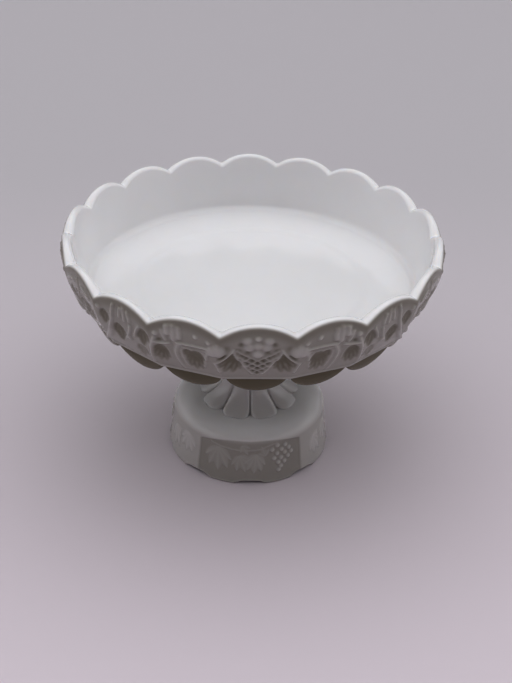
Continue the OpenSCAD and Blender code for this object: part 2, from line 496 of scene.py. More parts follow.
@dataclass
class Dish:
    """The shallow dish: petals below, a scalloped band with its relief, and a plain inside."""

    base_z: float
    rim_half_width: float
    panels: int = 18
    columns_per_panel: int = 64
    band_h: float = 42.5
    scallop_d: float = 7.0
    band_foot_half_width: float = 103.0
    band_swell: float = 0.8
    upright_h: float = 4.0
    rim_t: float = 5.0
    seat_r: float = 19.0
    seat_depth: float = 23.0
    seat_round: float = 0.6
    neck_shares: tuple[float, float, float] = (0.06, 0.7, 0.93)
    petal_start: float = 1.5
    petal_drop: float = 10.6
    petal_end_r: float = 4.6
    petal_gap: float = 2.4
    petal_slope: float = 5.5
    petal_fall_in: float = 3.0
    petal_rings: int = 32
    petal_end_rings: int = 22
    valley_lift: float = 0.8
    valley_share: float = 0.74
    crest_easing: int = 6
    band_rings: int = 92
    bead_h: float = 1.4
    bead_half_width: float = 1.3
    bead_rise: float = 0.8
    relief_drop: float = 4.3
    relief_stretch: float = 0.955
    relief_lie: float = 0.965
    relief_sector: float = 120.0
    relief_fades_above: tuple[float, float] = (3.4, 4.8)
    relief_fades_below_crest: tuple[float, float] = (2.6, 4.6)
    rim_rings: int = 13
    floor_rise: float = 4.0
    floor_step: float = 0.6
    floor_disc_r: float = 71.0
    disc_radii: tuple[float, ...] = (60.0, 50.0, 40.0, 30.0, 20.0, 10.0, 4.0, 0.0)
    step_out: float = 5.0
    step_run: float = 8.0
    step_rings: int = 9
    outer_floor_r: float = 84.0
    cove_r: float = 6.5
    cove_out: float = 2.5
    cove_turn: float = 56.0
    cove_rings: int = 13
    wall_top_r: float = 111.8
    wall_lean: float = 0.3
    wall_rings: int = 26
    # Painted shade and highlight on the outside: band and petals darkened for the shade under the rim,
    # hollows darker, raised relief paler, a darker zone just below the edge, and the shade fading out over
    # the rim.
    band_painted_shade: float = 0.68
    hollow_painted_shade: float = 0.3
    raised_painted_highlight: float = 0.14
    petal_painted_shade: float = 1.0
    rim_shade: float = 0.12
    rim_shade_zone: tuple[float, float] = (3.0, 9.0)
    rim_painted_shade_fade: float = 0.32
    azimuth: np.ndarray = field(init=False)
    local: np.ndarray = field(init=False)

    def __post_init__(self) -> None:
        """Lays out the columns of points, and each one's angle from its panel's centre."""
        count = self.panels * self.columns_per_panel
        step = 360.0 / self.panels
        self.azimuth = np.arange(count) * 360.0 / count
        self.local = (self.azimuth + step / 2) % step - step / 2

    @property
    def band_z(self) -> float:
        """Height of the band's lower edge."""
        return self.base_z + self.seat_depth

    @property
    def half_step(self) -> float:
        """Half the angle of a panel, in degrees."""
        return 180.0 / self.panels

    def half_width(self, h: np.ndarray) -> np.ndarray:
        """Half width of the band across its flats.

        Args:
            h: Height over the band's lower edge.

        Returns:
            Half width at each height, in millimetres.
        """
        share = np.clip(h / (self.band_h - self.upright_h), 0.0, 1.0)
        flare = self.rim_half_width - self.band_foot_half_width
        return self.band_foot_half_width + flare * np.sin(share * math.pi / 2) ** self.band_swell

    def crest(self) -> np.ndarray:
        """Height of the scalloped edge at each column, over the band's lower edge.

        Returns:
            One height for each column, in millimetres.
        """
        half_chord = self.rim_half_width * math.tan(math.radians(self.half_step))
        round_r = (half_chord**2 + self.scallop_d**2) / (2 * self.scallop_d)
        across = self.rim_half_width * np.tan(np.radians(self.local))
        top = self.band_h - round_r + np.sqrt(round_r**2 - across**2)
        return softened(np.stack([top] * 3), passes=self.crest_easing)[1]

    def facet(self) -> np.ndarray:
        """Radius of a flat-sided outline over its half width, at each column."""
        return 1 / np.cos(np.radians(self.local))

    def lift(self) -> np.ndarray:
        """How far the band's lower edge rises at each valley between two petals."""
        starts = self.half_step * self.valley_share
        return self.valley_lift * smoothstep(starts, self.half_step, np.abs(self.local))

    def relief(self) -> Relief:
        """Grapes, vine leaves, buds and stalks of the band, for half a third of the round.

        Returns:
            The relief, which mirrors and repeats them round the band.
        """
        k = math.radians(1) * self.rim_half_width * self.relief_lie
        motifs = [*self._cluster(), *self._vine(k), *self._buds(k)]
        return Relief(motifs, self._hollows(k), self.relief_sector, k, Symmetry.MIRRORED)

    @staticmethod
    def _cluster() -> list[Motif]:
        """The hanging bunch of grapes in the middle of the front, as its right half.

        Returns:
            Crown berries, then the strands that part the smaller grapes.
        """
        crown = [Berry(0.0, 37.8, 1.7, 1.5), Berry(5.6, 36.4, 2.6, 1.2), Berry(4.4, 32.2, 2.8, 1.1),
                 Berry(0.0, 33.0, 2.6, 1.1), Berry(0.0, 27.6, 3.0, 1.4)]
        strands: list[Motif] = [
            Ridge((0.0, 22.6), (11.0, 29.8), 0.6, 0.6, bow=-0.06),
            Ridge((0.0, 18.4), (10.8, 26.0), 0.6, 0.7, bow=-0.06),
            Ridge((0.0, 14.2), (8.4, 20.6), 0.6, 0.7, bow=-0.06),
            Ridge((0.0, 10.0), (5.0, 14.6), 0.6, 0.7, bow=-0.06),
            Ridge((2.3, 12.2), (0.0, 14.2), 0.5, 0.6),
            Ridge((4.6, 14.4), (0.0, 18.4), 0.5, 0.6),
            Ridge((6.8, 17.2), (0.0, 22.6), 0.5, 0.6),
            Ridge((8.4, 21.0), (3.4, 24.8), 0.5, 0.6),
        ]
        return [*crown, *strands]

    @staticmethod
    def _vine(k: float) -> list[Motif]:
        """Vines, stalks and raised leaves.

        Args:
            k: Millimetres round the band to a degree of azimuth.

        Returns:
            The motifs, as the right half of a third of the round.
        """
        return [
            Berry(10.7 * k, 28.8, 4.4, 1.3),
            Berry(12.2 * k, 28.0, 3.8, 1.3),
            Berry(10.6 * k, 32.4, 1.5, 0.9),
            Ridge((6.6 * k, 29.6), (11.8 * k, 19.0), 0.7, 0.9, bow=-0.12),
            Ridge((6.4 * k, 30.4), (5.2 * k, 23.0), 0.7, 0.9, bow=0.1),
            Ridge((4.6 * k, 22.6), (1.4 * k, 11.0), 0.6, 1.2, bow=0.05),
            Ridge((11.7 * k, 19.5), (10.6 * k, 12.0), 0.7, 1.1, bow=-0.1),
            Ridge((13.2 * k, 29.4), (22.0 * k, 29.6), 0.8, 1.2, bow=0.03),
            Ridge((13.2 * k, 27.0), (20.6 * k, 27.2), 0.6, 0.6, bow=-0.03),
            Ridge((12.6 * k, 31.0), (14.0 * k, 21.0), 0.8, 1.2, bow=0.1),
            Ridge((21.4 * k, 28.6), (22.4 * k, 19.0), 1.2, 1.0, bow=0.2),
            Ridge((22.4 * k, 19.0), (21.2 * k, 8.0), 1.2, 0.7, bow=0.06),
            Ridge((14.6 * k, 25.0), (14.9 * k, 14.0), 0.6, 0.5, bow=-0.14),
            Ridge((20.8 * k, 25.0), (19.6 * k, 12.0), 0.7, 0.6, bow=0.12),
            Ridge((24.0 * k, 28.4), (28.6 * k, 27.2), 0.8, 1.2, bow=-0.1),
            Ridge((28.4 * k, 30.0), (31.3 * k, 8.0), 1.0, 1.2, bow=0.08),
            Ridge((33.0 * k, 33.5), (35.4 * k, 25.0), 0.8, 1.4, bow=0.1),
            Ridge((36.4 * k, 31.0), (39.0 * k, 20.6), 0.9, 1.5, bow=-0.1),
            Berry(37.8 * k, 21.4, 1.9, 1.4),
            Ridge((42.0 * k, 41.0), (43.2 * k, 31.0), 0.9, 1.5, bow=0.05),
            Ridge((43.2 * k, 31.0), (50.8 * k, 9.0), 1.0, 1.5, bow=-0.1),
            Ridge((45.0 * k, 21.0), (52.5 * k, 6.0), 0.8, 1.2, bow=-0.1),
            Ridge((53.0 * k, 34.0), (57.6 * k, 36.6), 0.9, 0.9, bow=0.25),
            Ridge((60.0 * k, 33.0), (60.0 * k, 39.6), 1.1, 0.9),
            Berry(54.6 * k, 10.5, 1.9, 1.4),
        ]

    @staticmethod
    def _buds(k: float) -> list[Motif]:
        """Closed buds above the vine and the loose berries beside them.

        Args:
            k: Millimetres round the band to a degree of azimuth.

        Returns:
            The motifs, as the right half of a third of the round.
        """
        return [
            Ridge((21.2 * k, 33.2), (21.2 * k, 39.0), 1.6, 1.1, bow=0.08),
            Ridge((22.7 * k, 31.6), (22.7 * k, 41.0), 1.7, 1.1),
            Ridge((24.4 * k, 35.0), (24.3 * k, 41.4), 1.6, 1.4, bow=-0.06),
            Ridge((25.0 * k, 30.4), (25.9 * k, 36.0), 1.3, 1.0, bow=-0.1),
            Berry(27.8 * k, 33.2, 1.7, 1.3),
            Berry(16.4 * k, 35.8, 1.5, 1.4),
            Berry(13.0 * k, 33.4, 1.3, 1.2),
            Ridge((36.4 * k, 34.0), (36.8 * k, 39.0), 1.2, 1.2, bow=0.1),
            Ridge((38.4 * k, 33.0), (38.2 * k, 41.0), 1.3, 1.0),
            Ridge((40.2 * k, 34.0), (39.6 * k, 39.5), 1.1, 1.2, bow=-0.1),
            Berry(48.2 * k, 34.2, 1.8, 1.0),
        ]

    @staticmethod
    def _hollows(k: float) -> list[Motif]:
        """Leaves sunk between the vines, with ribs standing up in them, and pits beside stalks.

        Args:
            k: Millimetres round the band to a degree of azimuth.

        Returns:
            The motifs, as the right half of a third of the round.
        """
        return [
            *(Pit(x, h, 1.7, 0.9) for x, h in (
                (0.0, 20.6), (0.0, 16.4), (0.0, 12.2), (2.5, 18.4), (2.4, 14.4), (2.7, 22.4), (4.9, 20.4),
                (4.6, 16.4), (5.4, 24.2), (7.2, 22.2), (7.6, 26.6), (9.4, 24.6), (10.2, 29.2))),
            VineLeaf((5.6 * k, 27.6), -64, 17.5, -1.5, spread=66, blade_width=0.16, rib_rise=0.5),
            VineLeaf((8.4 * k, 26.4), -78, 8.0, -1.3, spread=80, lobes=3, blade_width=0.26),
            VineLeaf((16.6 * k, 26.4), -84, 17.0, -1.4, spread=56, blade_width=0.17, rib_rise=0.5),
            VineLeaf((19.4 * k, 26.0), -96, 7.5, -1.2, spread=60, lobes=3, blade_width=0.26),
            VineLeaf((26.4 * k, 25.8), -74, 15.0, -1.4, spread=60, blade_width=0.17, rib_rise=0.5),
            VineLeaf((32.0 * k, 33.0), -84, 13.0, -1.4, spread=50, lobes=3, blade_width=0.24),
            VineLeaf((33.6 * k, 19.5), -70, 12.0, -1.0, spread=50, lobes=3, blade_width=0.22),
            VineLeaf((41.4 * k, 28.4), -82, 14.0, -1.5, spread=44, lobes=3, blade_width=0.24),
            VineLeaf((46.2 * k, 34.0), -80, 11.0, -1.3, spread=44, lobes=3, blade_width=0.24),
            VineLeaf((60.0 * k, 32.0), -90, 21.0, -1.5, spread=104, blade_width=0.19, rib_rise=0.5),
            VineLeaf((53.4 * k, 30.0), -80, 13.0, -1.2, spread=44, lobes=3, blade_width=0.24),
            Pit(8.2 * k, 31.2, 2.0, 0.5),
            Pit(4.4 * k, 34.0, 1.2, 0.8),
            Pit(2.6 * k, 28.6, 1.2, 0.8),
            Pit(23.4 * k, 34.0, 1.0, 0.6),
            Pit(27.0 * k, 29.2, 1.2, 0.7),
        ]

    def _underside(self) -> tuple[np.ndarray, np.ndarray]:
        """Rings from the seat's centre out over the petals to the band's lower edge.

        Returns:
            Radius and height of each point, as rings by columns.
        """
        outer = self.band_foot_half_width
        inward = np.linspace(0.0, 1.0, self.petal_rings)[:-1]
        start_r, bend_r = self.seat_r + self.petal_start, outer - self.petal_end_r
        swing = np.linspace(math.pi / 2, 0.0, self.petal_end_rings)
        run = start_r + (bend_r - start_r) * inward
        reach = np.concatenate([run, bend_r + self.petal_end_r * np.cos(swing)])
        end_cap = np.concatenate([np.ones(len(inward)), np.sin(swing)])
        radius = reach[:, None] * self.facet()[None, :]
        drop = self._petal_fall(radius) * end_cap[:, None]
        slope = math.tan(math.radians(self.petal_slope))
        z = self.band_z - drop - slope * (outer - reach)[:, None] * end_cap[:, None]
        inside = (1 - (reach - self.seat_r) / (outer - self.seat_r))[:, None]
        z = np.maximum(z, self.band_z - self.petal_drop - self.petal_fall_in * inside)
        z = z + self.lift()[None, :] * (1 - end_cap[:, None]) ** 2
        neck_radius, neck_z = self._neck(z[0])
        return np.concatenate([neck_radius, radius]), np.concatenate([neck_z, z])

    def _neck(self, petals_z: np.ndarray) -> tuple[np.ndarray, np.ndarray]:
        """Rings of the flat seat and of the short neck up to the petals.

        Args:
            petals_z: Height where the petals start, at each column.

        Returns:
            Radius and height of each point, as rings by columns.
        """
        low, high, top = self.neck_shares
        outline = [(0.0, 0.0), (self.seat_r / 2, 0.0), (self.seat_r - self.seat_round, 0.0),
                   (self.seat_r, low), (self.seat_r, high), (self.seat_r + self.seat_round / 2, top)]
        radius = np.stack([r * np.ones_like(self.azimuth) for r, _ in outline])
        return radius, np.stack([self.base_z + share * (petals_z - self.base_z) for _, share in outline])

    def _petal_fall(self, radius: np.ndarray) -> np.ndarray:
        """How far a petal's surface hangs below the groove beside it, as half an ellipse.

        Args:
            radius: Distance from the axis of each point, as rings by columns.

        Returns:
            The drop at each point, in millimetres.
        """
        half_w = self.band_foot_half_width * math.tan(math.radians(self.half_step)) - self.petal_gap / 2
        away = radius * np.sin(np.radians(self.half_step - np.abs(self.local)))[None, :]
        away = np.maximum(away - self.petal_gap / 2, 0.0)
        from_crest = np.clip(1 - away / half_w, 0.0, 1.0)
        return self.petal_drop * np.sqrt(1 - from_crest**2)

    def _band(self) -> tuple[np.ndarray, np.ndarray, np.ndarray]:
        """Rings up the outside of the band, with its relief and lower bead.

        Returns:
            Radius, height and painted shade of each point, as rings by columns.
        """
        low, top = self.lift(), self.crest() - self.rim_t / 2
        shares = np.linspace(0.0, 1.0, self.band_rings)
        h = low[None, :] + shares[:, None] * (top - low)[None, :]
        below_crest = self.crest()[None, :] - h
        raised = self.relief().field(self.azimuth, h * self.relief_stretch + self.relief_drop)
        fade = smoothstep(*self.relief_fades_above, h)
        fade = fade * smoothstep(*self.relief_fades_below_crest, below_crest)
        bead = np.sqrt(np.clip(1 - ((h - self.bead_h) / self.bead_half_width) ** 2, 0, 1)) * self.bead_rise
        raised = softened(raised * fade + bead)
        radius = self.half_width(h) * self.facet()[None, :] + raised
        # Painted shade: darker in the hollows, a painted highlight on the raised relief, and darker just
        # below the scalloped edge.
        depth = self.band_painted_shade + self.hollow_painted_shade * np.clip(-raised, 0, 1)
        depth = depth - self.raised_painted_highlight * np.clip(raised, 0, 2)
        depth = depth + self.rim_shade * (1 - smoothstep(*self.rim_shade_zone, below_crest))
        return radius, self.band_z + h, np.clip(depth, 0, 1)

    def _rim(self, outer: np.ndarray) -> tuple[np.ndarray, np.ndarray]:
        """Rings over the rounded rim.

        Args:
            outer: Radius of the band's last ring at each column.

        Returns:
            Radius and height of each point, as rings by columns.
        """
        half = self.rim_t / 2
        base = self.crest() - half
        inner = self._wall_r(base)
        turn = np.radians(np.linspace(0, 180, self.rim_rings + 2)[1:-1])[:, None]
        centre, reach = (outer + inner) / 2, (outer - inner) / 2
        return centre + reach * np.cos(turn), self.band_z + base + half * np.sin(turn)

    def _wall_r(self, h: np.ndarray) -> np.ndarray:
        """Radius of the inner wall.

        Args:
            h: Height over the band's lower edge.

        Returns:
            Radius at each height, in millimetres.
        """
        depth = np.clip((self.band_h + 1 - h) / (self.band_h + 1 - self.cove_top_h), 0, 1)
        share = self.wall_lean * depth + (1 - self.wall_lean) * depth**2
        return self.wall_top_r - (self.wall_top_r - self.cove_top_r) * share

    @property
    def cove_x(self) -> float:
        """Radius where the floor ends and the cove starts."""
        return self.band_foot_half_width + self.cove_out - self.cove_r

    @property
    def cove_top_r(self) -> float:
        """Radius where the cove meets the wall."""
        return self.cove_x + self.cove_r * math.sin(math.radians(self.cove_turn))

    @property
    def cove_top_h(self) -> float:
        """Height where the cove meets the wall."""
        return self.floor_rise + self.cove_r * (1 - math.cos(math.radians(self.cove_turn)))

    def _inside(self) -> tuple[np.ndarray, np.ndarray]:
        """Rings down the inner wall, round the cove and over the floor to its centre.

        Returns:
            Radius and height of each point, as rings by columns.
        """
        base = self.crest() - self.rim_t / 2
        share = np.linspace(0, 1, self.wall_rings)[:, None]
        wall_h = base[None, :] + (self.cove_top_h - base[None, :]) * share
        rings_r, rings_h = [self._wall_r(wall_h)], [wall_h]
        flat = np.ones((1, len(self.azimuth)))
        for r, h in [*self._cove(), (self.outer_floor_r, self.floor_rise), *self._disc()]:
            rings_r.append(r * flat)
            rings_h.append(h * flat)
        return np.concatenate(rings_r), self.band_z + np.concatenate(rings_h)

    def _cove(self) -> list[tuple[float, float]]:
        """Radius and height of each ring from the wall's foot round to the floor."""
        turns = np.radians(np.linspace(self.cove_turn, 0, self.cove_rings)[1:])
        return [(self.cove_x + self.cove_r * math.sin(turn),
                 self.floor_rise + self.cove_r * (1 - math.cos(turn))) for turn in turns]

    def _disc(self) -> list[tuple[float, float]]:
        """Radius and height of each ring over the soft step and the flat disc to its centre.

        Returns:
            Rings from the step's outer edge inwards.
        """
        share = np.linspace(0, 1, self.step_rings)
        step_r = self.floor_disc_r + self.step_out - self.step_run * share
        step_h = self.floor_rise - self.floor_step * smoothstep(0.0, 1.0, share)
        disc_h = self.floor_rise - self.floor_step
        return [*zip(step_r, step_h), *((r, disc_h) for r in self.disc_radii)]

    def build(self) -> bpy.types.Object:
        """The whole dish as one closed mesh.

        Returns:
            The dish's mesh object.
        """
        under_r, under_z = self._underside()
        band_r, band_z, band_painted_shade = self._band()
        rim_r, rim_z = self._rim(band_r[-1])
        in_r, in_z = self._inside()
        radius = np.concatenate([under_r, band_r, rim_r, in_r])
        z = np.concatenate([under_z, band_z, rim_z, in_z])
        # Painted shade: full on the petals, the band's own over the band, fading out over the rim, none
        # inside.
        edge = 1 - smoothstep(0.0, self.rim_painted_shade_fade, np.linspace(0, 1, len(rim_r)))
        depth = np.concatenate([self.petal_painted_shade * np.ones_like(under_r), band_painted_shade,
                                band_painted_shade[-1:] * edge[:, None], np.zeros_like(in_r)])
        return lathe_mesh("milk_glass_dish", radius, z, self.azimuth, depth)


@dataclass
class Wafer:
    """The rounded wafer of glass that joins the dish to the stem."""

    low_z: float
    high_z: float
    radius: float
    columns: int = 144
    bead_rings: int = 17
    flat_shares: tuple[float, float, float] = (0.0, 0.4, 0.75)
    # Painted shade over the whole wafer.
    depth: float = 0.4

    def build(self) -> bpy.types.Object:
        """The wafer as a closed mesh with a rounded bead round it.

        Returns:
            The wafer's mesh object.
        """
        bead = (self.high_z - self.low_z) / 2
        centre_z = (self.high_z + self.low_z) / 2
        turn = np.radians(np.linspace(-90, 90, self.bead_rings))
        edge_r = self.radius - bead + bead * np.cos(turn)
        edge_z = centre_z + bead * np.sin(turn)
        flat = [self.radius * share for share in self.flat_shares]
        r = np.concatenate([flat, edge_r, flat[::-1]])
        z = np.concatenate([[self.low_z] * 3, edge_z, [self.high_z] * 3])
        azimuth = np.arange(self.columns) * 360.0 / self.columns
        ones = np.ones((1, self.columns))
        return lathe_mesh("joining_wafer_bead", r[:, None] * ones, z[:, None] * ones, azimuth,
                          self.depth * np.ones((len(r), self.columns)))


@dataclass
class Stem:
    """The ribbed stem: nine rounded ribs that flare onto the foot and end in round toes."""

    low_z: float
    high_z: float
    ribs: int = 9
    columns_per_rib: int = 44
    flare_r: float = 36.0
    waist_r: float = 13.5
    top_r: float = 18.0
    toe_round: float = 3.0
    groove_share: float = 0.12
    toe_groove_share: float = 0.26
    toe_groove_decay: float = 10.0
    crease: float = 0.999
    flare_decay: float = 6.5
    flare_power: int = 3
    top_power: int = 6
    rings: int = 96
    ring_bias: float = 1.5
    # Painted shade over the whole stem.
    depth: float = 0.28

    def _outline(self, t: np.ndarray) -> np.ndarray:
        """Radius over the ribs.

        Args:
            t: Share of the stem's height, from 0 at the foot to 1 at the wafer.

        Returns:
            Radius at each share, in millimetres.
        """
        flare = np.exp(-self.flare_decay * t) * (1 - t**self.flare_power)
        top = t**self.top_power
        return self.waist_r + (self.flare_r - self.waist_r) * flare + (self.top_r - self.waist_r) * top

    def build(self) -> bpy.types.Object:
        """The stem as a closed mesh. A groove faces the front.

        Returns:
            The stem's mesh object.
        """
        count = self.ribs * self.columns_per_rib
        azimuth = np.arange(count) * 360.0 / count
        height = self.high_z - self.low_z
        across = np.abs(np.sin(np.radians(azimuth * self.ribs / 2)))
        rib = 1 - np.sqrt(1 - (1 - across) ** 2 * self.crease)
        rib = rib / rib.max()
        t = np.linspace(0, 1, self.rings) ** self.ring_bias
        toe = self.toe_round / height
        toe_in = np.where(t < toe, 1 - np.sqrt(np.clip(1 - (1 - t / toe) ** 2, 0, 1)), 0.0)
        extra = (self.toe_groove_share - self.groove_share) * np.exp(-t * self.toe_groove_decay)
        groove = self.groove_share + extra
        radius = self._outline(t)[:, None] * (1 - groove[:, None] * rib[None, :])
        radius = radius - self.toe_round * toe_in[:, None]
        z = self.low_z + height * t[:, None] * np.ones((1, count))
        ends = [0.0, 0.5]
        low = [radius[0][None, :] * share for share in ends]
        high = [radius[-1][None, :] * share for share in ends[::-1]]
        flat = np.ones((1, count))
        radius = np.concatenate([*low, radius, *high])
        z = np.concatenate([flat * self.low_z] * 2 + [z] + [flat * self.high_z] * 2)
        return lathe_mesh("ribbed_stem_glass", radius, z, azimuth, self.depth * np.ones_like(radius))


@dataclass
class Foot:
    """The hollow foot: a domed top, a lobed skirt and sunk panels with vine relief."""

    height: float
    lobes: int = 9
    columns_per_lobe: int = 84
    table_r: float = 56.0
    skirt_top_r: float = 52.0
    shoulder_h: float = 7.5
    shoulder_in: float = 14.0
    seat_r: float = 37.0
    seat_middle_r: float = 20.0
    glass_t: float = 5.0
    notch_h: float = 2.4
    notch_half_angle: float = 11.0
    edge_round: float = 1.3
    notch_blend: int = 6
    edge_rings: int = 7
    relief_sector: float = 120.0
    relief_ease: float = 2.0
    relief_top_in: float = 3.4
    sunk_d: float = 0.9
    panel_half_angle: float = 39.5
    panel_top_in: float = 4.2
    panel_top_sag: float = 4.2
    panel_arch: float = 0.6
    panel_arch_power: float = 0.8
    panel_low_in: float = 0.6
    panel_side_ease: float = 1.6
    panel_edge_ease: float = 1.3
    hollow_top_in: float = 1.5
    hollow_cove_h: float = 3.0
    hollow_cove_in: float = 9.0
    hollow_rings: int = 24
    ceiling_radii: tuple[float, float, float] = (30.0, 12.0, 0.0)
    cove_rings: int = 8
    shoulder_rings: int = 26
    skirt_rings: int = 60
    # Painted shade: the skirt darker below the lit top and darker again on the sunk panels, with a painted
    # highlight on raised relief.
    skirt_painted_shade: float = 0.5
    panel_painted_shade: float = 0.68
    raised_painted_highlight: float = 0.16
    azimuth: np.ndarray = field(init=False)

    def __post_init__(self) -> None:
        """Lays out the columns of points."""
        count = self.lobes * self.columns_per_lobe
        self.azimuth = np.arange(count) * 360.0 / count

    def notch(self) -> np.ndarray:
        """Height of the skirt's lower edge at each column.

        Returns:
            One height for each column, in millimetres.
        """
        step = 360.0 / self.lobes
        away = np.abs((self.azimuth + step / 2) % step - step / 2)
        share = np.clip(away / self.notch_half_angle, 0, 1)
        return self.notch_h * np.sqrt(np.clip(1 - share**2, 0, 1)) * (1 - share**self.notch_blend)

    def skirt_r(self, h: np.ndarray) -> np.ndarray:
        """Radius of the skirt's outside.

        Args:
            h: Height over the table.

        Returns:
            Radius at each height, in millimetres.
        """
        top = self.height - self.shoulder_h
        return self.table_r + (self.skirt_top_r - self.table_r) * np.minimum(h / top, 1.0)

    def relief(self) -> Relief:
        """Vine leaves and a bunch of grapes on each sunk panel, and leaves between them.

        Returns:
            The relief, which repeats them on each third of the skirt.
        """
        k = math.radians(1) * (self.table_r + self.skirt_top_r) / 2
        bunch = [(20.2, 28.2), (26.4, 27.4), (16.0, 25.6), (23.2, 24.6), (29.2, 24.4), (19.6, 22.2),
                 (25.8, 21.6), (31.0, 21.0), (17.4, 18.8), (22.6, 18.4), (28.2, 18.2), (20.4, 15.2),
                 (25.2, 15.0), (22.4, 12.0), (20.6, 9.4)]
        motifs: list[Motif] = [Berry(a * k, h, 1.75, 1.2) for a, h in bunch]
        motifs += [
            VineLeaf((-24.0 * k, 26.5), -88, 18.0, 0.55, spread=96, blade_width=0.22),
            VineLeaf((-8.0 * k, 22.0), -70, 13.0, 0.5, spread=110, blade_width=0.22),
            VineLeaf((4.0 * k, 23.5), -96, 15.0, 0.6, spread=84, blade_width=0.22),
            VineLeaf((-6.0 * k, 30.0), -60, 8.0, 0.45, spread=80, lobes=3),
            VineLeaf((11.0 * k, 21.5), 110, 8.0, 0.45, spread=90, lobes=3),
            Ridge((-30.0 * k, 29.0), (8.0 * k, 27.0), 0.6, 0.45, bow=-0.1),
            Ridge((8.0 * k, 27.0), (20.0 * k, 30.0), 0.6, 0.45, bow=0.1),
            VineLeaf((52.0 * k, 24.0), -62, 16.0, 0.55, spread=90, blade_width=0.22),
            VineLeaf((-50.0 * k, 27.0), -96, 15.0, 0.55, spread=90, blade_width=0.22),
        ]
        return Relief(motifs, [], self.relief_sector, k, Symmetry.TURNED)

    def _side(self, low: np.ndarray) -> tuple[np.ndarray, np.ndarray]:
        """Rings from the top of the shoulder down the skirt to its lower edge.

        Args:
            low: Height of the lower edge at each column, as one ring.

        Returns:
            Radius and height of each point before its relief, as rings by columns.
        """
        skirt_top = self.height - self.shoulder_h
        turn = np.radians(np.linspace(90, 0, self.shoulder_rings)[:-1])[:, None] * np.ones_like(low)
        shoulder_r = self.skirt_r(skirt_top) - self.shoulder_in * (1 - np.cos(turn))
        shoulder_z = skirt_top + self.shoulder_h * np.sin(turn)
        share = np.linspace(1, 0, self.skirt_rings)[:, None]
        h = low + (skirt_top - low) * share
        return np.concatenate([shoulder_r, self.skirt_r(h)]), np.concatenate([shoulder_z, h])

    def _sunk(self, h: np.ndarray) -> np.ndarray:
        """How far the glass lies below the plain skirt, over the sunk panels.

        Args:
            h: Height of each point, as rings by columns.

        Returns:
            0 on the plain skirt and 1 on the panels, as rings by columns.
        """
        half_sector = self.relief_sector / 2
        away = np.abs((self.azimuth + half_sector) % self.relief_sector - half_sector)[None, :]
        arch = np.abs(np.sin(np.radians(away * self.lobes / 2))) ** self.panel_arch_power
        sag = self.panel_top_sag * (away / self.panel_half_angle) ** 2
        top = self.height - self.panel_top_in + self.panel_arch * arch - sag
        low = self.notch()[None, :] + self.panel_low_in
        sides = smoothstep(0.0, self.panel_side_ease, self.panel_half_angle - away)
        ease = self.panel_edge_ease
        return sides * smoothstep(0.0, ease, top - h) * smoothstep(0.0, ease, h - low)

    def _skirt(self, low: np.ndarray) -> tuple[np.ndarray, np.ndarray, np.ndarray]:
        """Rings of the outside, with its relief and sunk panels.

        Args:
            low: Height of the lower edge at each column, as one ring.

        Returns:
            Radius, height and painted shade of each point, as rings by columns.
        """
        radius, h = self._side(low)
        sunk = self._sunk(h)
        fade = smoothstep(0, self.relief_ease, h - low)
        fade = fade * smoothstep(0, self.relief_ease, self.height - self.relief_top_in - h)
        raised = self.relief().field(self.azimuth, h) * fade
        # Painted shade: none at the top, growing down the shoulder, more on the sunk panels, less on the
        # raised relief.
        depth = self.skirt_painted_shade * smoothstep(0, 1, (self.height - h) / self.shoulder_h)
        depth = depth + (self.panel_painted_shade - self.skirt_painted_shade) * sunk
        depth = np.clip(depth - self.raised_painted_highlight * np.clip(raised, 0, 2), 0, 1)
        return radius + softened(raised - self.sunk_d * sunk), h, depth

    def _edge(self, low: np.ndarray, outer: np.ndarray) -> tuple[np.ndarray, np.ndarray]:
        """Rings round the skirt's lower edge.

        Args:
            low: Height where the rounding starts at each column, as one ring.
            outer: Radius of the skirt there, as one ring.

        Returns:
            Radius and height of each point, as rings by columns.
        """
        turn = np.radians(np.linspace(0, 180, self.edge_rings + 2)[1:-1])[:, None]
        half_t = self.glass_t / 2
        return outer - half_t + half_t * np.cos(turn), low - self.edge_round * np.sin(turn)

    def _hollow(self, low: np.ndarray) -> tuple[np.ndarray, np.ndarray]:
        """Rings up the inside of the skirt, round a cove and in to the middle of its ceiling.

        Args:
            low: Height where the inside starts at each column, as one ring.

        Returns:
            Radius and height of each point, as rings by columns.
        """
        flat = np.ones_like(low)
        top = self.height - self.glass_t - self.hollow_top_in
        cove_low = top - self.hollow_cove_h
        wall_h = low + (cove_low - low) * np.linspace(0, 1, self.hollow_rings)[:, None]
        turn = np.radians(np.linspace(0, 90, self.cove_rings)[1:])[:, None]
        cove_r = self.skirt_r(cove_low) - self.glass_t - self.hollow_cove_in * (1 - np.cos(turn))
        cove_h = cove_low + self.hollow_cove_h * np.sin(turn)
        ceiling_r = np.array(self.ceiling_radii)[:, None] * flat
        radius = np.concatenate([self.skirt_r(wall_h) - self.glass_t, cove_r * flat, ceiling_r])
        return radius, np.concatenate([wall_h, cove_h * flat, np.full_like(ceiling_r, top)])

    def build(self) -> bpy.types.Object:
        """The foot as one closed, hollow mesh.

        Returns:
            The foot's mesh object.
        """
        low = self.notch()[None, :] + self.edge_round
        skirt_r, skirt_h, skirt_painted_shade = self._skirt(low)
        edge_r, edge_h = self._edge(low, skirt_r[-1:])
        hollow_r, hollow_h = self._hollow(low)
        top_r = np.array([0.0, self.seat_middle_r, self.seat_r])[:, None] * np.ones_like(low)
        radius = np.concatenate([top_r, skirt_r, edge_r, hollow_r])
        z = np.concatenate([np.full_like(top_r, self.height), skirt_h, edge_h, hollow_h])
        # Painted shade: none on the seat, the skirt's own down the outside, the edge like the skirt's foot,
        # and the inside like the plain skirt.
        depth = np.concatenate([np.zeros_like(top_r), skirt_painted_shade, skirt_painted_shade[-3] * np.ones_like(edge_r),
                                self.skirt_painted_shade * np.ones_like(hollow_r)])
        return lathe_mesh("lobed_foot_glass", radius, z, self.azimuth, depth)


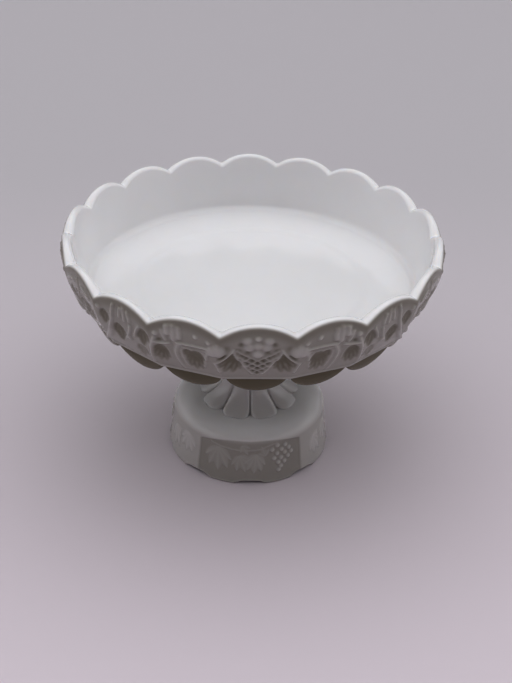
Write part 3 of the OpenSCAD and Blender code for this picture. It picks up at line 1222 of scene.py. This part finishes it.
@dataclass(frozen=True)
class Viewpoint:
    """Where the stand is seen from. Angles are in degrees and lengths in metres."""

    target_height: float = 0.1615
    azimuth: float = 2.05
    elevation: float = 26.65
    distance: float = 0.5921
    pan: float = 0.335
    tilt: float = -6.79
    roll: float = 1.467
    lens: float = 50.07
    sensor: float = 36.0

    def camera(self) -> bpy.types.Object:
        """The camera, placed round a point over the foot and turned away from it by pan, tilt and roll.

        Returns:
            The camera object, set as the scene's camera.
        """
        target = Vector((0, 0, self.target_height))
        lift, pan, tilt, roll = (math.radians(v) for v in (self.elevation, self.pan, self.tilt, self.roll))
        back = Vector((0, -math.cos(lift), math.sin(lift)))
        right, up, ahead = Vector((1, 0, 0)), Vector((0, math.sin(lift), math.cos(lift))), -back
        right, ahead = (math.cos(pan) * right - math.sin(pan) * ahead,
                        math.sin(pan) * right + math.cos(pan) * ahead)
        up, ahead = (math.cos(tilt) * up - math.sin(tilt) * ahead,
                     math.sin(tilt) * up + math.cos(tilt) * ahead)
        right, up = (math.cos(roll) * right + math.sin(roll) * up,
                     math.cos(roll) * up - math.sin(roll) * right)
        axes = Matrix((right, up, -ahead)).transposed().to_4x4()
        swing = Matrix.Rotation(math.radians(-self.azimuth), 4, "Z")
        data = bpy.data.cameras.new("camera")
        data.lens, data.sensor_width = self.lens, self.sensor
        made = bpy.data.objects.new("camera", data)
        stand_off = Matrix.Translation(back * self.distance)
        made.matrix_world = Matrix.Translation(target) @ swing @ stand_off @ axes
        bpy.context.scene.collection.objects.link(made)
        bpy.context.scene.camera = made
        return made


@dataclass(frozen=True)
class StageFinish:
    """Matt pale paper of the table and backdrop, with painted shade that darkens it towards the back."""

    name: str = "stage_paper"
    colour: Colour = (0.71, 0.655, 0.695)
    blotch_share: float = 0.97
    blotch_size: float = 3.0
    blotch_detail: float = 2.0
    roughness: float = 0.85
    sheen: float = 0.0
    # Painted shade: the paper darkens towards this colour from front to back, standing in for the light
    # falling off.
    painted_falloff_colour: Colour = (0.555, 0.535, 0.556)
    painted_falloff_starts: float = -0.25
    painted_falloff_full: float = 0.5

    def material(self) -> bpy.types.Material:
        """The finish as a node material.

        Returns:
            The material, for a piece's only slot.
        """
        made = bpy.data.materials.new(self.name)
        made.use_nodes = True
        wiring, shader = Wiring(made.node_tree), made.node_tree.nodes["Principled BSDF"].inputs
        blotch = opaque(tuple(c * self.blotch_share for c in self.colour))
        near = wiring.mixed(wiring.noise(self.blotch_size, self.blotch_detail), opaque(self.colour), blotch)
        # Painted shade: darker towards the back along the stage's Y.
        parts = wiring.node("ShaderNodeSeparateXYZ")
        wiring.feed(parts.inputs["Vector"], wiring.node("ShaderNodeTexCoord").outputs["Object"])
        away = wiring.faded(parts.outputs["Y"], self.painted_falloff_starts, self.painted_falloff_full)
        wiring.feed(shader["Base Color"], wiring.mixed(away, near, opaque(self.painted_falloff_colour)))
        shader["Roughness"].default_value = self.roughness
        shader["Specular IOR Level"].default_value = self.sheen
        return made


@dataclass
class Studio:
    """A round seamless table and low backdrop under a wide soft light that fills the ceiling."""

    middle_r: float = 0.3
    near_r: float = 1.0
    floor_r: float = 2.4
    cove_r: float = 0.5
    cove_rings: int = 13
    wall_h: float = 0.9
    columns: int = 96
    ceiling_colour: Colour = (0.98, 0.985, 1.0)
    room_colour: Colour = (1.0, 0.92, 0.84)
    ceiling_strength: float = 1.45
    room_strength: float = 0.06
    ceiling_starts: float = 0.45
    ceiling_full: float = 0.88
    window_starts: float = 0.25
    contrast: float = 0.68

    def build(self) -> None:
        """Makes the stage and the light, and sets how the picture is developed."""
        self._stage()
        self._ceiling()
        settings = bpy.context.scene.view_settings
        settings.view_transform = "Standard"
        settings.gamma = self.contrast

    def _ceiling(self) -> None:
        """A room whose ceiling glows evenly, over faint warm walls with a window on each side."""
        world = bpy.data.worlds.new("soft_ceiling")
        world.use_nodes = True
        wiring = Wiring(world.node_tree)
        parts = wiring.node("ShaderNodeSeparateXYZ")
        wiring.feed(parts.inputs["Vector"], wiring.node("ShaderNodeTexCoord").outputs["Generated"])
        across = wiring.node("ShaderNodeMath")
        across.operation = "ABSOLUTE"
        wiring.feed(across.inputs[0], parts.outputs["X"])
        both = wiring.node("ShaderNodeMath")
        both.operation = "MAXIMUM"
        ceiling_share = wiring.faded(parts.outputs["Z"], self.ceiling_starts, self.ceiling_full)
        wiring.feed(both.inputs[0], ceiling_share)
        wiring.feed(both.inputs[1], wiring.faded(across.outputs[0], self.window_starts))
        room = opaque(tuple(c * self.room_strength for c in self.room_colour))
        ceiling = opaque(tuple(c * self.ceiling_strength for c in self.ceiling_colour))
        glow = wiring.mixed(both.outputs[0], room, ceiling)
        wiring.feed(world.node_tree.nodes["Background"].inputs["Color"], glow)
        bpy.context.scene.world = world

    def _stage(self) -> None:
        """The table, swept up into a wall all round."""
        turn = np.linspace(0, 2 * math.pi, self.columns, endpoint=False)
        cove = np.radians(np.linspace(0, 90, self.cove_rings))
        bend = self.floor_r + self.cove_r * np.sin(cove)
        radii = [self.middle_r, self.near_r, *bend, self.floor_r + self.cove_r]
        heights = [0.0, 0.0, *(self.cove_r * (1 - np.cos(cove))), self.wall_h]
        rings = [np.stack([r * np.cos(turn), r * np.sin(turn), np.full(self.columns, z)], axis=-1)
                 for r, z in zip(radii, heights)]
        vertices = np.concatenate([np.zeros((1, 3)), *rings])
        here = 1 + np.arange(len(rings) - 1)[:, None] * self.columns + np.arange(self.columns)
        beside = np.roll(here, -1, axis=1)
        walls = np.stack([here, here + self.columns, beside + self.columns, beside], axis=-1)
        middle = [(0, a, b) for a, b in zip(here[0].tolist(), beside[0].tolist())]
        mesh = bpy.data.meshes.new("table_and_backdrop")
        mesh.from_pydata(vertices.tolist(), [], middle + walls.reshape(-1, 4).tolist())
        mesh.shade_smooth()
        mesh.materials.append(StageFinish().material())
        stage = bpy.data.objects.new("table_and_backdrop", mesh)
        bpy.context.scene.collection.objects.link(stage)


def main() -> None:
    """Loads the frame, then builds the dish, wafer, stem, foot, studio and camera in order."""
    logging.basicConfig(level=logging.INFO, format="%(name)s %(message)s")
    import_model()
    dish_low, dish_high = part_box("dish")
    wafer_low, wafer_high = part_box("joining_wafer")
    stem_low, stem_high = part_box("ribbed_stem")
    foot_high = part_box("lobed_foot")[1]
    dish = Dish(base_z=dish_low.z / MM, rim_half_width=dish_high.y / MM)
    settle(dish.build(), "dish", MilkGlass("milk_glass_dish", seed=0.0))
    wafer = Wafer(wafer_low.z / MM, wafer_high.z / MM, wafer_high.y / MM)
    settle(wafer.build(), "joining_wafer", MilkGlass("milk_glass_wafer", seed=1.3))
    stem = Stem(stem_low.z / MM, stem_high.z / MM)
    settle(stem.build(), "ribbed_stem", MilkGlass("milk_glass_stem", seed=2.6))
    foot = Foot(height=foot_high.z / MM)
    settle(foot.build(), "lobed_foot", MilkGlass("milk_glass_foot", seed=3.9))
    Studio().build()
    Viewpoint().camera()


if __name__ == "__main__":
    main()
